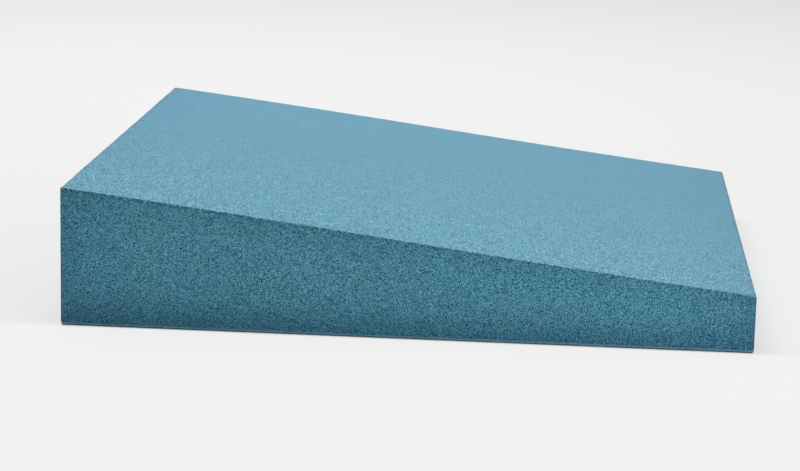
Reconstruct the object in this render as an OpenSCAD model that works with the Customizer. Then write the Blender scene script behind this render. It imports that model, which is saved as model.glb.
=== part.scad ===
// Wedge-shaped acoustic wall panel, cut in one piece from a block of open-cell foam.
// The flat back lies in the plane z = 0, and is the face that is glued to the wall.
// The front face slopes from the thick end, on -X, down to the thin end, on +X.
// Every thickness is measured to the sharp corner, before its edge is rounded.

/* [Panel] */
// Length of the panel, from the thick end to the thin end
panel_length = 300; // [200:1:650]
// Width of the panel, across the slope
panel_width = 300; // [200:1:650]
// Thickness at the thick end, from the back to the front face
thick_end = 61; // [40:0.5:130]
// Thickness at the thin end, from the back to the front face
thin_end = 25; // [12:0.5:60]

/* [Edges] */
// Radius on the four edges round the sloping front face, as the cutting wire leaves them
front_edge_radius = 0.6; // [0.3:0.1:4]
// Radius on the four short upright edges at the corners
upright_edge_radius = 0.7; // [0.3:0.1:4]
// Radius on the four edges round the back, which rub as the panel is handled
back_edge_radius = 1; // [0.3:0.1:4]

/* [Hidden] */
$fn = 48;
foam_colour = [0.33, 0.6, 0.7];
// How far a cut runs past the block where it leaves the block's faces alone
overrun = 10;
full_depth = max(thick_end, thin_end);
mean_depth = (thick_end + thin_end) / 2;
slope_length = norm([panel_length, thick_end - thin_end]);
slope_angle = atan2(thick_end - thin_end, panel_length);

// Outward unit normal of the edge from point a to point b of an outline drawn anticlockwise
function edge_normal(a, b) = [b.y - a.y, a.x - b.x] / norm(b - a);

// Centre of the round that touches both edges at a corner, whose normals are before and after
function round_centre(corner, before, after, radius) =
    corner - radius * (before + after) / (1 + before * after);

// Corners of a rectangle that is centred on x = 0 and runs from low to high
function rectangle(width, low, high) = [
    [-width / 2, low],
    [width / 2, low],
    [width / 2, high],
    [-width / 2, high],
];

// A convex outline, drawn anticlockwise, with its own radius at each corner
module rounded_outline(corners, radii) {
    last = len(corners) - 1;
    rounds = [
        for (i = [0:last])
            let (
                corner = corners[i],
                before = edge_normal(corners[i == 0 ? last : i - 1], corner),
                after = edge_normal(corner, corners[i == last ? 0 : i + 1])
            )
            [round_centre(corner, before, after, radii[i]), before, after, radii[i]]
    ];
    polygon([for (r = rounds) each [r[0] + r[3] * r[1], r[0] + r[3] * r[2]]]);
    for (r = rounds)
        if (r[3] > 0)
            translate(r[0]) circle(r[3]);
}

// Turns an outline drawn across the panel so that it runs along X
module along_length(length) {
    rotate([90, 0, 90]) linear_extrude(length, center = true) children();
}

// The side profile, which gives the wedge and rounds its edges along Y
module side_cut() {
    rotate([90, 0, 0])
        linear_extrude(panel_width + 2 * overrun, center = true)
            rounded_outline(
                [
                    [-panel_length / 2, 0],
                    [panel_length / 2, 0],
                    [panel_length / 2, thin_end],
                    [-panel_length / 2, thick_end],
                ],
                [back_edge_radius, back_edge_radius, front_edge_radius, front_edge_radius]
            );
}

// The plan, which rounds the four upright edges
module plan_cut() {
    translate([0, 0, -overrun])
        linear_extrude(full_depth + 2 * overrun)
            rounded_outline(
                rectangle(panel_length, -panel_width / 2, panel_width / 2),
                [for (corner = [1:4]) upright_edge_radius]
            );
}

// The section square to the back, which rounds the back edges along X
module back_cut() {
    along_length(panel_length + 2 * overrun)
        rounded_outline(
            rectangle(panel_width, 0, full_depth + overrun),
            [back_edge_radius, back_edge_radius, 0, 0]
        );
}

// The section square to the slope, which rounds the front edges that run down it
module front_cut() {
    translate([0, 0, mean_depth])
        rotate([0, slope_angle, 0])
            along_length(slope_length + 2 * overrun)
                rounded_outline(
                    rectangle(panel_width, -full_depth - overrun, 0),
                    [0, 0, front_edge_radius, front_edge_radius]
                );
}

// The panel: one block of foam, trimmed by the four cuts
module foam_panel() {
    color(foam_colour)
        intersection() {
            side_cut();
            plan_cut();
            back_cut();
            front_cut();
        }
}

foam_panel();
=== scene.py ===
"""A wedge-shaped acoustic wall panel of wire-cut open-cell foam, lying on its flat back.

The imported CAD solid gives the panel's place and sizes. This script replaces it with a mesh of the
cut foam, dresses that, and sets it on a pale studio floor. Lengths are in metres.
"""

import logging
import math
from dataclasses import dataclass, field
from enum import Enum
from typing import Any

import bpy
from mathutils import Matrix, Vector


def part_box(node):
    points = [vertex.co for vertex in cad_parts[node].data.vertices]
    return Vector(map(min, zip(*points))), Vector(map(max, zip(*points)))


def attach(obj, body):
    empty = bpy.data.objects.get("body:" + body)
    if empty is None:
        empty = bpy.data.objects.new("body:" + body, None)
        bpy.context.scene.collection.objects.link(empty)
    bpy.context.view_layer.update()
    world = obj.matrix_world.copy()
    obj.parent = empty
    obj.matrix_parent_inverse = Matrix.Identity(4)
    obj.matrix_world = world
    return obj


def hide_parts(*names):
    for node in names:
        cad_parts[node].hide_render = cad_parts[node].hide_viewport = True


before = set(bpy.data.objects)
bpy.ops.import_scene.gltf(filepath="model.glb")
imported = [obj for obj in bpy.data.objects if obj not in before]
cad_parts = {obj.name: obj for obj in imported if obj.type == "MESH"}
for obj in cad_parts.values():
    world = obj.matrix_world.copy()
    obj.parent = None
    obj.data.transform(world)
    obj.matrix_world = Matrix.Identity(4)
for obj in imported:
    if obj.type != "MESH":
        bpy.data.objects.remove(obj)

MM = 0.001
EDGE_DISTANCE = "edge_distance"
# The picture's width in pixels, which the camera's focal length is given in.
IMAGE_WIDTH = 800
# A face whose normal has a larger upward part than this is the sloping one.
SLOPE_FACING = 0.7
# How many finer patterns each noise has in it, but for that of the torn cells.
NOISE_DETAIL = 1.0
# A Mix node has sockets for every kind of data, so its colour sockets are told apart by number.
MIX_SHARE, MIX_UNDER, MIX_OVER = 0, 6, 7
log = logging.getLogger("acoustic_panel")


def linear(colour: str) -> tuple[float, float, float, float]:
    """Turns an sRGB hex colour into the linear colour that a shader takes.

    Args:
        colour: The colour as "#rrggbb".

    Returns:
        Red, green, blue and an alpha of 1.
    """
    parts = [int(colour[i : i + 2], 16) / 255 for i in (1, 3, 5)]
    toned = [c / 12.92 if c <= 0.04045 else ((c + 0.055) / 1.055) ** 2.4 for c in parts]
    return (*toned, 1.0)


def add_node(tree: bpy.types.NodeTree, kind: str, inputs: list | dict, **settings: Any) -> Any:
    """Adds one node to a tree, with its settings and links.

    Args:
        tree: The shader or Geometry Nodes tree.
        kind: The node's Blender type.
        inputs: What feeds its inputs, as a list in their order or a dict by name or number. Each
            is a value, an output socket, or a node, which then gives its first output in use.
        **settings: The node's own properties, such as its operation.

    Returns:
        The new node.
    """
    node = tree.nodes.new(kind)
    for name, value in settings.items():
        setattr(node, name, value)
    for key, value in inputs.items() if isinstance(inputs, dict) else enumerate(inputs):
        if isinstance(value, bpy.types.Node):
            value = next(socket for socket in value.outputs if socket.enabled)
        if isinstance(value, bpy.types.NodeSocket):
            tree.links.new(value, node.inputs[key])
        else:
            node.inputs[key].default_value = value
    return node


def emptied_tree(owner: bpy.types.Material | bpy.types.World) -> bpy.types.NodeTree:
    """Turns on the nodes of a material or a world, and gives its tree with nothing in it."""
    owner.use_nodes = True
    owner.node_tree.nodes.clear()
    return owner.node_tree


def seen_directly(tree: bpy.types.NodeTree) -> Any:
    """Adds the test of a ray that shows a surface to the eye, also by way of metal or glass.

    Args:
        tree: The tree of the floor's material or of the sky.

    Returns:
        The node that gives 1 for such a ray and 0 for one that carries light.
    """
    path = add_node(tree, "ShaderNodeLightPath", []).outputs
    mirrored = add_node(
        tree, "ShaderNodeMath", [path["Is Camera Ray"], path["Is Glossy Ray"]], operation="ADD"
    )
    return add_node(
        tree,
        "ShaderNodeMath",
        [mirrored, path["Is Transmission Ray"]],
        operation="ADD",
        use_clamp=True,
    )


class Blend(Enum):
    """How a layer of colour goes over what lies under it."""

    COVER = "MIX"
    TINT = "MULTIPLY"


@dataclass(frozen=True)
class CutFoam:
    """Dyed open-cell polyurethane foam, cut with a hot wire.

    The cut opens the cells, so the eye sees a fine grain of dark pores between paler struts, with
    no gloss, and a soft pale sheen where the surface is seen at a low angle. On the sloping face
    the cells are long across the panel, as a dragging wire might leave them, and soften toward
    its far side. Torn cells darken the cut edges. Painted shade darkens a band beside the edges of
    the upright faces, both ends and the foot. Along the foot a thin painted highlight runs over a
    thin painted contact shadow.
    """

    warm_cell: str = "#30A2BC"
    cool_cell: str = "#33A0CA"
    pore_colour: str = "#055672"
    strut_colour: str = "#8ED7EC"
    closed_colour: str = "#5797B2"
    torn_colour: str = "#023E58"
    # Tints of painted shade, then the colours of the painted highlight and contact shadow at the
    # foot.
    edge_shade_tint: str = "#009792"
    shade_tint: str = "#8088C0"
    foot_highlight_colour: str = "#98CCE0"
    contact_shadow_colour: str = "#1E2C30"
    # The real cells are too fine to measure. This size, about 115 to the inch, was chosen for the
    # contrast it gives the grain in the main view, where a pixel is about half a millimetre.
    pore_size: float = 0.22 * MM
    strut_size: float = 0.13 * MM
    strut_roughness: float = 0.6
    pore_depth: float = 0.3 * MM
    bump_strength: float = 0.6
    # The grain adds up each cell's own tone, the way from its middle and the struts. The two sums
    # are those of a full pore and a full strut.
    own_weight: float = 1.4
    rim_weight: float = 0.4
    pore_sum: float = 1.22
    strut_sum: float = 1.73
    # On the sloping face the cells are this many times longer across the panel, which keeps the
    # grain's contrast at a low angle.
    wire_drag: float = 3.6
    # They soften from its near side on, and are softest this far from it. Real cells would stay
    # open: this only keeps the far side soft to the eye.
    closed_reach: float = 220.0 * MM
    closed_share: float = 0.8
    # The dye turns from warm to cool in patches of about this size, between these noise values.
    dye_size: float = 9.0 * MM
    dye_low: float = 0.35
    dye_high: float = 0.65
    # Tears as fine as the cells would not show, so they are drawn coarser. They lie between these
    # noise values, within a reach of the edge that is longer on the slope.
    torn_size: float = 1.4 * MM
    torn_low: float = 0.5
    torn_high: float = 0.56
    torn_reach: float = 1.8 * MM
    torn_slope_reach: float = 3.0 * MM
    torn_share: float = 0.85
    torn_slope_share: float = 1.0
    # Painted shade: beside the edges of the upright faces, toward both ends, and near the foot.
    edge_shade_reach: float = 12.0 * MM
    edge_shade_share: float = 0.24
    end_shade_reach: float = 38.0 * MM
    end_shade_share: float = 0.22
    end_shade_slope_share: float = 0.1
    shade_height: float = 16.0 * MM
    shade_share: float = 0.29
    # Painted highlight and contact shadow round the foot, each by the height of its middle.
    foot_highlight_height: float = 1.0 * MM
    foot_highlight_share: float = 0.9
    contact_shadow_height: float = 0.1 * MM
    contact_shadow_share: float = 0.3
    line_reach: float = 0.5 * MM
    ior: float = 1.5
    roughness: float = 0.85
    specular: float = 0.1
    sheen: float = 0.35
    sheen_roughness: float = 0.45

    def grain(self, tree: bpy.types.NodeTree, place: Any, slope: Any) -> Any:
        """Makes the grain of pores and struts, from 0 in a pore to 1 on a strut.

        Args:
            tree: The material's tree.
            place: The socket with the place on the panel.
            slope: The node that gives 1 on the sloping face and 0 elsewhere.

        Returns:
            The node that gives the grain.
        """
        drag = add_node(
            tree, "ShaderNodeMath", [slope, 1 / self.wire_drag - 1, 1.0], operation="MULTIPLY_ADD"
        )
        stretch = add_node(tree, "ShaderNodeCombineXYZ", [1.0, drag, 1.0])
        place = add_node(tree, "ShaderNodeVectorMath", [place, stretch], operation="MULTIPLY")
        # Each opened cell has its own darkness, and is darkest at its middle.
        pores = add_node(
            tree, "ShaderNodeTexVoronoi", {"Vector": place, "Scale": 1 / self.pore_size}
        ).outputs
        own = add_node(tree, "ShaderNodeSeparateColor", [pores["Color"]])
        struts = add_node(
            tree,
            "ShaderNodeTexNoise",
            {
                "Vector": place,
                "Scale": 1 / self.strut_size,
                "Detail": NOISE_DETAIL,
                "Roughness": self.strut_roughness,
            },
        )
        rim = add_node(
            tree,
            "ShaderNodeMath",
            [pores["Distance"], self.rim_weight, struts],
            operation="MULTIPLY_ADD",
        )
        total = add_node(
            tree, "ShaderNodeMath", [own, self.own_weight, rim], operation="MULTIPLY_ADD"
        )
        return add_node(
            tree,
            "ShaderNodeMapRange",
            {"Value": total, "From Min": self.pore_sum, "From Max": self.strut_sum},
        )

    def cells(self, tree: bpy.types.NodeTree, place: Any, grain: Any) -> Any:
        """Mixes the colour of the cells with their pores and struts.

        Args:
            tree: The material's tree.
            place: The socket with the place on the panel.
            grain: The node that gives the grain.

        Returns:
            The node that gives the colour.
        """
        patch = add_node(
            tree,
            "ShaderNodeTexNoise",
            {"Vector": place, "Scale": 1 / self.dye_size, "Detail": NOISE_DETAIL},
        )
        # The lower half of the grain runs from pore to wall, and the upper half to strut.
        cool, wall, strut = (
            add_node(
                tree, "ShaderNodeMapRange", {"Value": value, "From Min": low, "From Max": high}
            )
            for value, low, high in (
                (patch, self.dye_low, self.dye_high),
                (grain, 0.0, 0.5),
                (grain, 0.5, 1.0),
            )
        )
        cell = add_node(
            tree,
            "ShaderNodeMix",
            {
                MIX_SHARE: cool,
                MIX_UNDER: linear(self.warm_cell),
                MIX_OVER: linear(self.cool_cell),
            },
            data_type="RGBA",
        )
        open_cell = add_node(
            tree,
            "ShaderNodeMix",
            {MIX_SHARE: wall, MIX_UNDER: linear(self.pore_colour), MIX_OVER: cell},
            data_type="RGBA",
        )
        return add_node(
            tree,
            "ShaderNodeMix",
            {MIX_SHARE: strut, MIX_UNDER: open_cell, MIX_OVER: linear(self.strut_colour)},
            data_type="RGBA",
        )

    def band(
        self, tree: bpy.types.NodeTree, distance: Any, middle: float, reach: Any, share: Any
    ) -> Any:
        """Makes the share of a band, which fades out on both sides of its middle.

        Args:
            tree: The material's tree.
            distance: The socket or node with the distance that the band is measured by.
            middle: That distance in the band's middle.
            reach: How far to each side the band fades to 0.
            share: How much of it there is in its middle.

        Returns:
            The node that gives the share.
        """
        offset = add_node(tree, "ShaderNodeMath", [distance, middle], operation="SUBTRACT")
        away = add_node(tree, "ShaderNodeMath", [offset], operation="ABSOLUTE")
        return add_node(
            tree,
            "ShaderNodeMapRange",
            {"Value": away, "From Max": reach, "To Min": share, "To Max": 0.0},
        )

    def marks(
        self, tree: bpy.types.NodeTree, place: Any, slope: Any, half: Vector
    ) -> list[tuple[Any, str, Blend]]:
        """Lists the cut's marks and painted light and shade over the cells, from the lowest layer
        up.

        Args:
            tree: The material's tree.
            place: The socket with the place on the panel.
            slope: The node that gives 1 on the sloping face and 0 elsewhere.
            half: The panel's farthest corner from its middle.

        Returns:
            For each layer its share, its colour, and how it goes over what lies under it.
        """
        along, across, height = add_node(tree, "ShaderNodeSeparateXYZ", [place]).outputs
        to_edge = add_node(
            tree, "ShaderNodeAttribute", [], attribute_name=EDGE_DISTANCE
        ).outputs["Fac"]
        closing = add_node(
            tree,
            "ShaderNodeMapRange",
            {
                "Value": across,
                "From Min": -half[1],
                "From Max": self.closed_reach - half[1],
                "To Max": self.closed_share,
            },
        )
        closed = add_node(tree, "ShaderNodeMath", [closing, slope], operation="MULTIPLY")
        reach, share, end_shade_peak = (
            add_node(
                tree,
                "ShaderNodeMath",
                [slope, on_slope - elsewhere, elsewhere],
                operation="MULTIPLY_ADD",
            )
            for elsewhere, on_slope in (
                (self.torn_reach, self.torn_slope_reach),
                (self.torn_share, self.torn_slope_share),
                (self.end_shade_share, self.end_shade_slope_share),
            )
        )
        near = self.band(tree, to_edge, 0.0, reach, share)
        tears = add_node(
            tree, "ShaderNodeTexNoise", {"Vector": place, "Scale": 1 / self.torn_size}
        )
        bites = add_node(
            tree,
            "ShaderNodeMapRange",
            {"Value": tears, "From Min": self.torn_low, "From Max": self.torn_high},
        )
        torn = add_node(tree, "ShaderNodeMath", [near, bites], operation="MULTIPLY")
        upright = add_node(tree, "ShaderNodeMath", [1.0, slope], operation="SUBTRACT")
        # Painted shade in a band beside the edges of the upright faces.
        edge_shade_band = self.band(tree, to_edge, 0.0, self.edge_shade_reach, self.edge_shade_share)
        edge_shade = add_node(tree, "ShaderNodeMath", [edge_shade_band, upright], operation="MULTIPLY")
        # Painted shade toward both ends, with less of it on the slope.
        out = add_node(tree, "ShaderNodeMath", [along], operation="ABSOLUTE")
        end_shade = add_node(
            tree,
            "ShaderNodeMapRange",
            {
                "Value": out,
                "From Min": half[0] - self.end_shade_reach,
                "From Max": half[0],
                "To Max": end_shade_peak,
            },
        )
        # Painted shade near the foot, darkest at the floor.
        shade = self.band(tree, height, 0.0, self.shade_height, self.shade_share)
        # A painted highlight along the rounded lower edge, over a painted contact shadow.
        skin = self.band(tree, height, self.foot_highlight_height, self.line_reach, self.foot_highlight_share)
        foot = self.band(tree, height, self.contact_shadow_height, self.line_reach, self.contact_shadow_share)
        return [
            (closed, self.closed_colour, Blend.COVER),
            (torn, self.torn_colour, Blend.COVER),
            (edge_shade, self.edge_shade_tint, Blend.TINT),
            (end_shade, self.shade_tint, Blend.TINT),
            (shade, self.shade_tint, Blend.TINT),
            (skin, self.foot_highlight_colour, Blend.COVER),
            (foot, self.contact_shadow_colour, Blend.COVER),
        ]

    def material(self, half: Vector) -> bpy.types.Material:
        """Builds the foam's material, whose grain follows Object coordinates.

        Args:
            half: The panel's farthest corner from its middle.

        Returns:
            The material.
        """
        material = bpy.data.materials.new("dyed_polyurethane_foam_wire_cut")
        tree = emptied_tree(material)
        place = add_node(tree, "ShaderNodeTexCoord", []).outputs["Object"]
        facing = add_node(tree, "ShaderNodeNewGeometry", []).outputs["True Normal"]
        upward = add_node(tree, "ShaderNodeSeparateXYZ", [facing]).outputs["Z"]
        slope = add_node(tree, "ShaderNodeMath", [upward, SLOPE_FACING], operation="GREATER_THAN")
        grain = self.grain(tree, place, slope)
        colour = self.cells(tree, place, grain)
        for share, layer, blend in self.marks(tree, place, slope, half):
            colour = add_node(
                tree,
                "ShaderNodeMix",
                {MIX_SHARE: share, MIX_UNDER: colour, MIX_OVER: linear(layer)},
                data_type="RGBA",
                blend_type=blend.value,
            )
        bump = add_node(
            tree,
            "ShaderNodeBump",
            {"Strength": self.bump_strength, "Distance": self.pore_depth, "Height": grain},
        )
        shader = add_node(
            tree,
            "ShaderNodeBsdfPrincipled",
            {
                "Base Color": colour,
                "IOR": self.ior,
                "Roughness": self.roughness,
                "Specular IOR Level": self.specular,
                "Sheen Weight": self.sheen,
                "Sheen Roughness": self.sheen_roughness,
                "Normal": bump,
            },
        )
        add_node(tree, "ShaderNodeOutputMaterial", {"Surface": shader})
        return material


@dataclass(frozen=True)
class WhiteAcrylic:
    """Matt white acrylic sheet under a flat light.

    It shows only a soft part of a shadow, least of all in front of the panel, where the sheet is
    whiter, and the dark line where the panel touches it. The change from the whiter part is crisp
    along the panel's foot and fades away from its ends.
    """

    front_colour: str = "#F2F2F2"
    back_colour: str = "#E8E8E8"
    bounce_colour: str = "#F4F4F4"
    # How much of the real light and shadow shows, in front of the panel and behind it.
    front_share: float = 0.06
    back_share: float = 0.25
    # The change of tone lies this far to each side of the panel's near foot.
    change_reach: float = 3.0 * MM
    # Past this gap from the panel's ends it spreads, until it is this wide.
    spread_gap: float = 35.0 * MM
    spread: float = 0.6
    contact_share: float = 0.7
    contact_reach: float = 0.5 * MM

    def behind(self, tree: bpy.types.NodeTree, place: Any, footprint: Vector) -> Any:
        """Makes the change of tone along the panel's near foot.

        Args:
            tree: The material's tree.
            place: The socket with the place on the floor.
            footprint: The farthest corner of what stands on the floor, from its middle.

        Returns:
            The node that gives 0 in front of the foot and 1 behind it.
        """
        outward = add_node(tree, "ShaderNodeVectorMath", [place], operation="ABSOLUTE")
        sideways = add_node(tree, "ShaderNodeSeparateXYZ", [outward]).outputs["X"]
        spread_start = footprint[0] + self.spread_gap
        spread = add_node(
            tree,
            "ShaderNodeMapRange",
            {
                "Value": sideways,
                "From Min": spread_start,
                "From Max": spread_start + self.spread,
                "To Max": self.spread,
            },
        )
        change_start, change_end = (side * self.change_reach - footprint[1] for side in (-1, 1))
        start = add_node(tree, "ShaderNodeMath", [change_start, spread], operation="SUBTRACT")
        end = add_node(tree, "ShaderNodeMath", [change_end, spread], operation="ADD")
        depth = add_node(tree, "ShaderNodeSeparateXYZ", [place]).outputs["Y"]
        return add_node(
            tree, "ShaderNodeMapRange", {"Value": depth, "From Min": start, "From Max": end}
        )

    def contact(self, tree: bpy.types.NodeTree, place: Any, footprint: Vector) -> Any:
        """Makes the share of the dark line that runs round the foot of the panel.

        Args:
            tree: The material's tree.
            place: The socket with the place on the floor.
            footprint: The farthest corner of what stands on the floor, from its middle.

        Returns:
            The node that gives the share.
        """
        outward = add_node(tree, "ShaderNodeVectorMath", [place], operation="ABSOLUTE")
        past = add_node(tree, "ShaderNodeVectorMath", [outward, footprint], operation="SUBTRACT")
        outside = add_node(
            tree, "ShaderNodeVectorMath", [past, (0.0, 0.0, 0.0)], operation="MAXIMUM"
        )
        gap = add_node(tree, "ShaderNodeVectorMath", [outside], operation="LENGTH").outputs["Value"]
        return add_node(
            tree,
            "ShaderNodeMapRange",
            {
                "Value": gap,
                "From Max": self.contact_reach,
                "To Min": self.contact_share,
                "To Max": 0.0,
            },
        )

    def material(self, footprint: Vector) -> bpy.types.Material:
        """Builds the floor's material: evenly pale to the eye, and plain matt to the light.

        Args:
            footprint: The farthest corner of what stands on the floor, from its middle.

        Returns:
            The material.
        """
        material = bpy.data.materials.new("matt_white_acrylic_sheet")
        tree = emptied_tree(material)
        place = add_node(tree, "ShaderNodeTexCoord", []).outputs["Object"]
        behind = self.behind(tree, place, footprint)
        colour = add_node(
            tree,
            "ShaderNodeMix",
            {
                MIX_SHARE: behind,
                MIX_UNDER: linear(self.front_colour),
                MIX_OVER: linear(self.back_colour),
            },
            data_type="RGBA",
        )
        more = self.back_share - self.front_share
        wide = add_node(
            tree, "ShaderNodeMath", [behind, more, self.front_share], operation="MULTIPLY_ADD"
        )
        contact = self.contact(tree, place, footprint)
        share = add_node(tree, "ShaderNodeMath", [wide, contact], operation="MAXIMUM")
        even = add_node(tree, "ShaderNodeEmission", {"Color": colour})
        bounce = add_node(tree, "ShaderNodeBsdfDiffuse", {"Color": linear(self.bounce_colour)})
        seen = add_node(tree, "ShaderNodeMixShader", [share, even, bounce])
        both = add_node(tree, "ShaderNodeMixShader", [seen_directly(tree), bounce, seen])
        add_node(tree, "ShaderNodeOutputMaterial", {"Surface": both})
        return material


class Socket(Enum):
    """Kinds of named input and output on a Geometry Nodes tree."""

    LENGTH = "NodeSocketFloat"
    COUNT = "NodeSocketInt"
    FINISH = "NodeSocketMaterial"
    MESH = "NodeSocketGeometry"


class WedgeTree:
    """The Geometry Nodes tree that meshes the wedge.

    It starts from a cube's grid. Away from the edges, lines are moved onto each other and merged,
    so that the mesh is fine where its outline shows and coarser elsewhere. The grid is then set
    out in real lengths, tapered, rounded along its edges and roughened as a cut through foam is.
    """

    INPUTS = {
        "Length": Socket.LENGTH,
        "Width": Socket.LENGTH,
        "Thick end": Socket.LENGTH,
        "Thin end": Socket.LENGTH,
        "Front radius": Socket.LENGTH,
        "Back radius": Socket.LENGTH,
        "Wire bow": Socket.LENGTH,
        "Spaces along": Socket.COUNT,
        "Spaces across": Socket.COUNT,
        "Spaces up": Socket.COUNT,
        "Relief depth": Socket.LENGTH,
        "Relief size": Socket.LENGTH,
        "Crumble depth": Socket.LENGTH,
        "Crumble size": Socket.LENGTH,
        "Crumble reach": Socket.LENGTH,
        "Seed": Socket.LENGTH,
        "Finish": Socket.FINISH,
    }
    # Every line is kept this near to an edge. Beyond that one line in two stays, and one in eight
    # on the back, a little farther in.
    EDGE_LINES = 6
    BACK_LINES = 8
    FACE_STEP = 2
    BACK_STEP = 8
    # The first few lines from each face are drawn toward it, by this much in all.
    EASED_LINES = 4
    EASED_GAIN = 1.0 * MM
    MERGE_DISTANCE = 0.02 * MM
    # The unit cube's back face lies lower than this.
    BACK_HEIGHT = -0.4999
    # Tests on whole numbers of lines stand half a line off them.
    HALF_LINE = 0.5
    # The noise values where each kind of roughness starts and where it is full.
    ROUGHNESS = {"Relief": (0.0, 1.0), "Crumble": (0.45, 0.7)}

    def __init__(self) -> None:
        """Builds the whole tree."""
        self.tree = bpy.data.node_groups.new("wire_cut_wedge", "GeometryNodeTree")
        face = self.tree.interface
        self.sockets = {
            name: face.new_socket(name, in_out="INPUT", socket_type=kind.value).identifier
            for name, kind in self.INPUTS.items()
        }
        face.new_socket("Mesh", in_out="OUTPUT", socket_type=Socket.MESH.value)
        self.given = self.add("NodeGroupInput", []).outputs
        self.place = self.add("GeometryNodeInputPosition", [])
        grid, spaces, lines = self.thinned_grid()
        wedge = self.shaped(grid, spaces, lines)
        self.finished(self.roughened(wedge))

    def add(self, kind: str, inputs: list | dict, **settings: Any) -> Any:
        """Adds one node to this tree."""
        return add_node(self.tree, kind, inputs, **settings)

    def thinned_grid(self) -> tuple[Any, Any, Any]:
        """Makes the cube's grid and picks the line that each of its points goes to.

        Returns:
            The grid, its number of spaces each way, and each point's lines from the nearest faces.
        """
        given = self.given
        counts = [given["Spaces along"], given["Spaces across"], given["Spaces up"]]
        corners = [self.add("ShaderNodeMath", [n, 1.0], operation="ADD") for n in counts]
        cube = self.add("GeometryNodeMeshCube", [(1.0, 1.0, 1.0), *corners])
        spaces = self.add("ShaderNodeCombineXYZ", counts)
        centred = self.add("ShaderNodeVectorMath", [self.place, spaces], operation="MULTIPLY")
        outward = self.add("ShaderNodeVectorMath", [centred], operation="ABSOLUTE")
        half = self.add("ShaderNodeVectorMath", {0: spaces, "Scale": 0.5}, operation="SCALE")
        lines = self.add("ShaderNodeVectorMath", [half, outward], operation="SUBTRACT")
        # One of the three is 0 on every face, so their sum less the largest is the way to an edge.
        x, y, z = self.add("ShaderNodeSeparateXYZ", [lines]).outputs
        total = self.add("ShaderNodeVectorMath", [lines, (1.0, 1.0, 1.0)], operation="DOT_PRODUCT")
        larger = self.add("ShaderNodeMath", [x, y], operation="MAXIMUM")
        largest = self.add("ShaderNodeMath", [larger, z], operation="MAXIMUM")
        to_edge = self.add("ShaderNodeMath", [total, largest], operation="SUBTRACT")
        height = self.add("ShaderNodeSeparateXYZ", [self.place]).outputs["Z"]
        on_back = self.add("ShaderNodeMath", [height, self.BACK_HEIGHT], operation="LESS_THAN")
        inner, deep = (
            self.add("ShaderNodeMath", [to_edge, count - self.HALF_LINE], operation="GREATER_THAN")
            for count in (self.EDGE_LINES, self.BACK_LINES)
        )
        back = self.add("ShaderNodeMath", [deep, on_back], operation="MULTIPLY")
        face_gain, back_gain = self.FACE_STEP - 1.0, float(self.BACK_STEP - self.FACE_STEP)
        face_step = self.add("ShaderNodeMath", [inner, face_gain, 1.0], operation="MULTIPLY_ADD")
        step = self.add("ShaderNodeMath", [back, back_gain, face_step], operation="MULTIPLY_ADD")
        raised = self.add("ShaderNodeVectorMath", [lines, (self.HALF_LINE,) * 3], operation="ADD")
        picked = self.add("ShaderNodeVectorMath", [raised, step], operation="SNAP")
        pitch = self.add(
            "ShaderNodeMath", [given["Length"], given["Spaces along"]], operation="DIVIDE"
        )
        distance = self.add("ShaderNodeMath", [to_edge, pitch], operation="MULTIPLY")
        marked = self.add(
            "GeometryNodeStoreNamedAttribute",
            {"Geometry": cube.outputs["Mesh"], "Name": EDGE_DISTANCE, "Value": distance},
            domain="POINT",
        )
        return marked, spaces, picked

    def shaped(self, grid: Any, spaces: Any, lines: Any) -> Any:
        """Sets the grid out in real lengths, tapers it and rounds its edges.

        Args:
            grid: The cube's grid.
            spaces: Its number of spaces each way.
            lines: Each point's lines from the nearest faces.

        Returns:
            The smooth wedge, with the lines that fell together merged.
        """
        given = self.given
        ends = self.add("ShaderNodeMath", [given["Thick end"], given["Thin end"]], operation="ADD")
        mean = self.add("ShaderNodeMath", [ends, 0.5], operation="MULTIPLY")
        size = self.add("ShaderNodeCombineXYZ", [given["Length"], given["Width"], mean])
        # Lines stand closer near the edges: each of the first few gives up a part of its space.
        gain = (self.EASED_GAIN,) * 3
        both_gains = (2 * self.EASED_GAIN,) * 3
        spread = self.add("ShaderNodeVectorMath", [size, both_gains], operation="ADD")
        pitch = self.add("ShaderNodeVectorMath", [spread, spaces], operation="DIVIDE")
        near = self.add(
            "ShaderNodeVectorMath",
            [lines, (-1 / self.EASED_LINES,) * 3, (1.0, 1.0, 1.0)],
            operation="MULTIPLY_ADD",
        )
        held = self.add("ShaderNodeVectorMath", [near, (0.0, 0.0, 0.0)], operation="MAXIMUM")
        square = self.add("ShaderNodeVectorMath", [held, held], operation="MULTIPLY")
        eased = self.add("ShaderNodeVectorMath", [square, (1.0, 1.0, 1.0)], operation="SUBTRACT")
        lost = self.add("ShaderNodeVectorMath", [eased, gain], operation="MULTIPLY")
        depth = self.add("ShaderNodeVectorMath", [lines, pitch, lost], operation="MULTIPLY_ADD")
        half = self.add("ShaderNodeVectorMath", {0: size, "Scale": 0.5}, operation="SCALE")
        outward = self.add("ShaderNodeVectorMath", [half, depth], operation="SUBTRACT")
        side = self.add("ShaderNodeVectorMath", [self.place], operation="SIGN")
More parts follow.
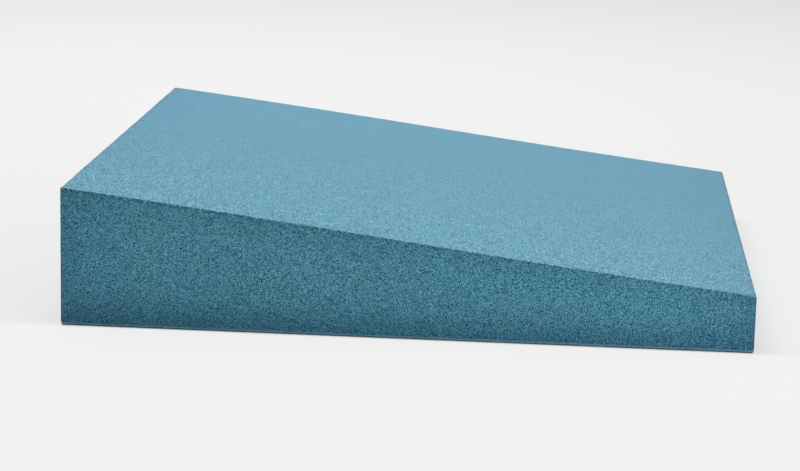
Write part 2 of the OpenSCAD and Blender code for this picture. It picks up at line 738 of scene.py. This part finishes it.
        # The depth of the panel at this point's place along it, with the wire's slight bow.
        signed = self.add("ShaderNodeVectorMath", [outward, side], operation="MULTIPLY")
        share = self.add("ShaderNodeVectorMath", [signed, size], operation="DIVIDE")
        middle = self.add("ShaderNodeVectorMath", [share, (0.5, 0.5, 0.5)], operation="ADD")
        along, _, up = self.add("ShaderNodeSeparateXYZ", [middle]).outputs
        straight = self.add(
            "ShaderNodeMapRange",
            {"Value": along, "To Min": given["Thick end"], "To Max": given["Thin end"]},
        )
        turn = self.add("ShaderNodeMath", [along, math.tau], operation="MULTIPLY")
        wave = self.add("ShaderNodeMath", [turn], operation="SINE")
        deep = self.add(
            "ShaderNodeMath", [wave, given["Wire bow"], straight], operation="MULTIPLY_ADD"
        )
        taper = self.add("ShaderNodeMath", [deep, mean], operation="DIVIDE")
        scale = self.add("ShaderNodeCombineXYZ", [1.0, 1.0, taper])
        reach = self.add("ShaderNodeVectorMath", [outward, scale], operation="MULTIPLY")
        limit = self.add("ShaderNodeVectorMath", [half, scale], operation="MULTIPLY")
        # Each point is set on a round of this radius about the nearest point of a smaller core.
        radius = self.add(
            "ShaderNodeMapRange",
            {"Value": up, "To Min": given["Back radius"], "To Max": given["Front radius"]},
        )
        inset = self.add("ShaderNodeVectorMath", [limit, radius], operation="SUBTRACT")
        core = self.add("ShaderNodeVectorMath", [reach, inset], operation="MINIMUM")
        skin = self.add("ShaderNodeVectorMath", [reach, core], operation="SUBTRACT")
        normal = self.add("ShaderNodeVectorMath", [skin], operation="NORMALIZE")
        rounded = self.add("ShaderNodeVectorMath", [normal, radius, core], operation="MULTIPLY_ADD")
        half_deep = self.add("ShaderNodeMath", [deep, 0.5], operation="MULTIPLY")
        lift = self.add("ShaderNodeCombineXYZ", [0.0, 0.0, half_deep])
        place = self.add("ShaderNodeVectorMath", [rounded, side, lift], operation="MULTIPLY_ADD")
        wedge = self.add("GeometryNodeSetPosition", {"Geometry": grid, "Position": place})
        return self.add(
            "GeometryNodeMergeByDistance", {"Geometry": wedge, "Distance": self.MERGE_DISTANCE}
        )

    def roughened(self, wedge: Any) -> Any:
        """Cuts the surface in as open cells leave it, most of all along the edges.

        Args:
            wedge: The smooth wedge.

        Returns:
            The wedge with its relief.
        """
        given = self.given
        depths = []
        for name, (start, end) in self.ROUGHNESS.items():
            scale = self.add("ShaderNodeMath", [1.0, given[f"{name} size"]], operation="DIVIDE")
            noise = self.add(
                "ShaderNodeTexNoise",
                {
                    "Vector": self.place,
                    "W": given["Seed"],
                    "Scale": scale,
                    "Detail": NOISE_DETAIL,
                },
                noise_dimensions="4D",
            )
            cut = self.add(
                "ShaderNodeMapRange", {"Value": noise, "From Min": start, "From Max": end}
            )
            depth = self.add("ShaderNodeMath", [cut, given[f"{name} depth"]], operation="MULTIPLY")
            depths.append(depth)
        to_edge = self.add("GeometryNodeInputNamedAttribute", {"Name": EDGE_DISTANCE})
        near = self.add(
            "ShaderNodeMapRange",
            {"Value": to_edge, "From Max": given["Crumble reach"], "To Min": 1.0, "To Max": 0.0},
        )
        relief, crumble = depths
        total = self.add("ShaderNodeMath", [crumble, near, relief], operation="MULTIPLY_ADD")
        inward = self.add("ShaderNodeMath", [total, -1.0], operation="MULTIPLY")
        normal = self.add("GeometryNodeInputNormal", [])
        offset = self.add("ShaderNodeVectorMath", {0: normal, "Scale": inward}, operation="SCALE")
        return self.add("GeometryNodeSetPosition", {"Geometry": wedge, "Offset": offset})

    def finished(self, foam: Any) -> None:
        """Smooths the shading, sets the material and ends the tree."""
        smooth = self.add("GeometryNodeSetShadeSmooth", {"Geometry": foam})
        real = self.add("GeometryNodeRealizeInstances", {"Geometry": smooth})
        dressed = self.add(
            "GeometryNodeSetMaterial", {"Geometry": real, "Material": self.given["Finish"]}
        )
        self.add("NodeGroupOutput", {"Mesh": dressed})


@dataclass
class FoamPanel:
    """The panel: one wedge of cut foam, meshed at the place and size of its CAD solid."""

    node: str = "foam_panel"
    name: str = "cut_foam_panel"
    front_radius: float = 0.6 * MM
    back_radius: float = 1.0 * MM
    wire_bow: float = 0.3 * MM
    # The space between two lines of the mesh near the edges.
    pitch: float = 0.8 * MM
    # Relief and crumbled edges as fine as the cells would not show. They are drawn two or more
    # spaces wide, so that the mesh can carry them.
    relief_depth: float = 0.16 * MM
    relief_size: float = 3.2 * MM
    crumble_depth: float = 0.8 * MM
    crumble_size: float = 1.7 * MM
    crumble_reach: float = 1.5 * MM
    seed: float = 4.0
    finish: CutFoam = field(default_factory=CutFoam)

    def ends(self) -> tuple[float, float]:
        """Finds how deep the solid is at its two ends, before its edges are rounded.

        Returns:
            The depth at the thick end and at the thin end.
        """
        low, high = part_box(self.node)
        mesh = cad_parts[self.node].data
        sloping = (face for face in mesh.polygons if face.normal.z > SLOPE_FACING)
        slope = max(sloping, key=lambda face: face.area)
        point, fall = mesh.vertices[slope.vertices[0]].co, slope.normal.x / slope.normal.z
        thick, thin = (point.z + (point.x - end) * fall for end in (low[0], high[0]))
        return thick, thin

    def spaces(self, size: float) -> int:
        """Counts the grid's spaces along one size, so that its coarsest step meets the middle."""
        whole = 2 * WedgeTree.BACK_STEP
        return round(size / self.pitch / whole) * whole

    def build(self) -> bpy.types.Object:
        """Returns:
            The panel's object, with a plain mesh.
        """
        low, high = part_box(self.node)
        length, width = high[0] - low[0], high[1] - low[1]
        thick, thin = self.ends()
        values = {
            "Length": length,
            "Width": width,
            "Thick end": thick,
            "Thin end": thin,
            "Front radius": self.front_radius,
            "Back radius": self.back_radius,
            "Wire bow": self.wire_bow,
            "Spaces along": self.spaces(length),
            "Spaces across": self.spaces(width),
            "Spaces up": self.spaces((thick + thin) / 2),
            "Relief depth": self.relief_depth,
            "Relief size": self.relief_size,
            "Crumble depth": self.crumble_depth,
            "Crumble size": self.crumble_size,
            "Crumble reach": self.crumble_reach,
            "Seed": self.seed,
            "Finish": self.finish.material(high),
        }
        wedge = WedgeTree()
        source = bpy.data.objects.new("wedge_source", bpy.data.meshes.new("wedge_source"))
        bpy.context.scene.collection.objects.link(source)
        maker = source.modifiers.new("wedge", "NODES")
        maker.node_group = wedge.tree
        for name, value in values.items():
            maker[wedge.sockets[name]] = value
        made = source.evaluated_get(bpy.context.evaluated_depsgraph_get())
        mesh = bpy.data.meshes.new_from_object(made)
        source.modifiers.remove(maker)
        bpy.data.objects.remove(source)
        mesh.name = self.name
        panel = bpy.data.objects.new(self.name, mesh)
        bpy.context.scene.collection.objects.link(panel)
        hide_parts(self.node)
        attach(panel, "root")
        return panel


@dataclass(frozen=True)
class Softbox:
    """A square lamp with a wide soft face, turned to the panel."""

    name: str
    place: tuple[float, float, float]
    watts: float
    size: float = 0.9

    def build(self) -> bpy.types.Object:
        """Hangs the lamp in its place."""
        data = bpy.data.lights.new(self.name, "AREA")
        data.shape, data.size, data.energy = "SQUARE", self.size, self.watts
        lamp = bpy.data.objects.new(self.name, data)
        lamp.location = self.place
        lamp.rotation_euler = (-Vector(self.place)).to_track_quat("-Z", "Y").to_euler()
        bpy.context.scene.collection.objects.link(lamp)
        return lamp


@dataclass
class Studio:
    """The pale floor, the soft lights and the camera."""

    floor_radius: float = 12.0
    floor_sides: int = 64
    sky_strength: float = 0.08
    sky_colour: str = "#F1F3F3"
    lamps: tuple[Softbox, ...] = (
        Softbox("key_over_the_back", (-0.3, 0.7, 1.2), 17.4),
        Softbox("wide_overhead", (0.2, -0.15, 1.1), 7.4, 1.6),
        Softbox("fill_from_the_front", (0.5, -0.55, 0.42), 1.28, 0.4),
    )
    camera_place: tuple[float, float, float] = (0.0729, -1.1916, 0.2640)
    yaw: float = math.radians(-4.15)
    pitch: float = math.radians(-11.81)
    roll: float = math.radians(1.35)
    # The sensor's width is in millimetres, as Blender takes it.
    focal_pixels: float = 2496.0
    sensor: float = 36.0
    finish: WhiteAcrylic = field(default_factory=WhiteAcrylic)

    def floor(self, footprint: Vector) -> None:
        """Lays the floor at the panel's back, as one wide disc.

        Args:
            footprint: The farthest corner of what stands on the floor, from its middle.
        """
        bpy.ops.mesh.primitive_circle_add(
            vertices=self.floor_sides,
            radius=self.floor_radius,
            fill_type="TRIFAN",
            location=(0, 0, 0),
        )
        floor = bpy.context.active_object
        floor.name = "studio_floor"
        floor.data.materials.append(self.finish.material(footprint))

    def sky(self) -> None:
        """Sets an even sky, white to the eye and dim as a light."""
        world = bpy.data.worlds.new("pale_sky")
        tree = emptied_tree(world)
        strength = add_node(
            tree,
            "ShaderNodeMapRange",
            {"Value": seen_directly(tree), "To Min": self.sky_strength, "To Max": 1.0},
        )
        sky = add_node(
            tree, "ShaderNodeBackground", {"Color": linear(self.sky_colour), "Strength": strength}
        )
        add_node(tree, "ShaderNodeOutputWorld", {"Surface": sky})
        bpy.context.scene.world = world

    def camera(self) -> None:
        """Sets the camera low in front of the panel, a little to the right of its middle."""
        forward = Vector(
            (
                math.sin(self.yaw) * math.cos(self.pitch),
                math.cos(self.yaw) * math.cos(self.pitch),
                math.sin(self.pitch),
            )
        )
        level = Vector((math.cos(self.yaw), -math.sin(self.yaw), 0.0))
        upright = level.cross(forward)
        right = math.cos(self.roll) * level + math.sin(self.roll) * upright
        up = math.cos(self.roll) * upright - math.sin(self.roll) * level
        data = bpy.data.cameras.new("camera")
        data.sensor_width = self.sensor
        data.lens = self.focal_pixels / IMAGE_WIDTH * self.sensor
        camera = bpy.data.objects.new("camera", data)
        turned = Matrix((right, up, -forward)).transposed().to_4x4()
        camera.matrix_world = Matrix.Translation(self.camera_place) @ turned
        bpy.context.scene.collection.objects.link(camera)
        bpy.context.scene.camera = camera

    def build(self, footprint: Vector) -> None:
        """Sets up the floor, the lights and the camera.

        Args:
            footprint: The farthest corner of what stands on the floor, from its middle.
        """
        self.floor(footprint)
        self.sky()
        for lamp in self.lamps:
            lamp.build()
        self.camera()
        bpy.context.scene.view_settings.view_transform = "Standard"


def main() -> None:
    logging.basicConfig(level=logging.INFO, format="%(name)s: %(message)s")
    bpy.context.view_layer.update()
    panel = FoamPanel().build()
    log.info("%s: %d faces", panel.name, len(panel.data.polygons))
    _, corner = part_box(FoamPanel.node)
    Studio().build(corner)
    log.info("studio: floor, lights and camera")


if __name__ == "__main__":
    main()
